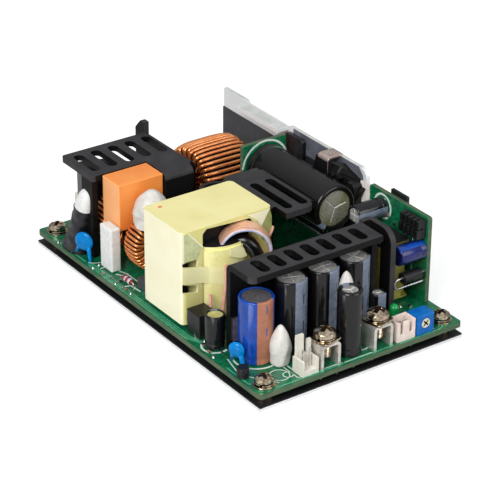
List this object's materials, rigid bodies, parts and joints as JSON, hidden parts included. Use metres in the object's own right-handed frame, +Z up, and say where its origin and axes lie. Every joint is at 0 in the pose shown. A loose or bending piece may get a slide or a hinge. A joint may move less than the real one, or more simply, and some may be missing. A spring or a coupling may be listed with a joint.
{
  "type": "open frame power supply",
  "caption": "Open frame mains power supply: a board full of chokes, capacitors, a taped transformer and folded heatsinks on a flat base plate.",
  "frame": {"origin": "middle of the underside of the base plate", "axes": "+Y along the board from the output terminals to the mains end, +X across it to the aluminium wall, +Z up"},
  "size_m": [0.0762, 0.127, 0.039],
  "materials": {
    "bright_aluminium": "satin rolled sheet",
    "insulation_film": "matt black film",
    "plated_steel": "nickel plated",
    "board_green": "green lacquered laminate",
    "black_anodised": "satin black anodised sheet",
    "black_package": "moulded black",
    "dark_plate": "dark plate on a moulded body",
    "ferrite": "matt ferrite",
    "yellow_tape": "pale yellow tape",
    "copper_wire": "enamelled copper",
    "pink_sleeve": "pink sleeve",
    "orange_case": "orange moulded case",
    "white_case": "white resin",
    "cream_plastic": "cream plastic",
    "disc_blue": "blue dipped coating",
    "black_sleeve": "black shrink sleeve on a can",
    "blue_sleeve": "blue shrink sleeve on a can",
    "green_lens": "tinted lens",
    "silicone": "white silicone"
  },
  "bodies": {
    "supply": {"base_plate": "bright_aluminium", "insulation_sheet": "insulation_film", "board_spacers": "plated_steel", "main_board": "board_green", "corner_washers": "plated_steel", "corner_screws": "plated_steel", "aluminium_wall": "bright_aluminium", "wall_insulator": "insulation_film", "rectifier": "dark_plate", "wall_transistors": "black_package", "spring_clip": "plated_steel", "clip_insulator": "insulation_film", "left_heatsink": "black_anodised", "bridge_rectifier": "black_package", "middle_heatsink": "black_anodised", "front_heatsink": "black_anodised", "output_rectifiers": "black_package", "thermal_sensor": "black_package", "transformer_core": "ferrite", "transformer_tape": "yellow_tape", "transformer_winding": "yellow_tape", "litz_lead": "copper_wire", "transformer_lead": "pink_sleeve", "rear_choke_core": "ferrite", "rear_choke_winding": "copper_wire", "near_choke_core": "ferrite", "near_choke_winding": "copper_wire", "power_choke_core": "ferrite", "power_choke_winding": "copper_wire", "power_choke_seat": "insulation_film", "box_capacitor": "orange_case", "white_capacitor": "white_case", "fuse_sleeve": "insulation_film", "fuse_cap": "white_case", "disc_capacitors": "disc_blue", "bulk_capacitor": "black_sleeve", "capacitor_board": "board_green", "blue_capacitor": "blue_sleeve", "output_capacitors": "black_sleeve", "front_capacitor": "black_sleeve", "small_capacitors": "black_sleeve", "control_board": "board_green", "control_chip": "black_package", "control_block": "black_package", "control_capacitors": "blue_sleeve", "control_diode": "black_package", "auxiliary_transformer": "yellow_tape", "drive_transformer": "yellow_tape", "coupler": "black_package", "input_connector": "white_case", "fan_connector": "white_case", "signal_connector": "cream_plastic", "terminal_brackets": "plated_steel", "terminal_washers": "plated_steel", "terminal_screws": "plated_steel", "trimmer_body": "disc_blue", "green_lamp": "green_lens", "glue_blobs": "silicone", "small_parts": "black_package"},
    "rotor": {"trimmer_rotor": "cream_plastic"}
  },
  "joints": [
    {"name": "rotor_turn", "type": "hinge", "parent": "supply", "child": "rotor", "pos_m": [0.024, -0.0628, 0.0093], "axis": [0, 1, 0], "range_deg": [-130, 130]}
  ]
}
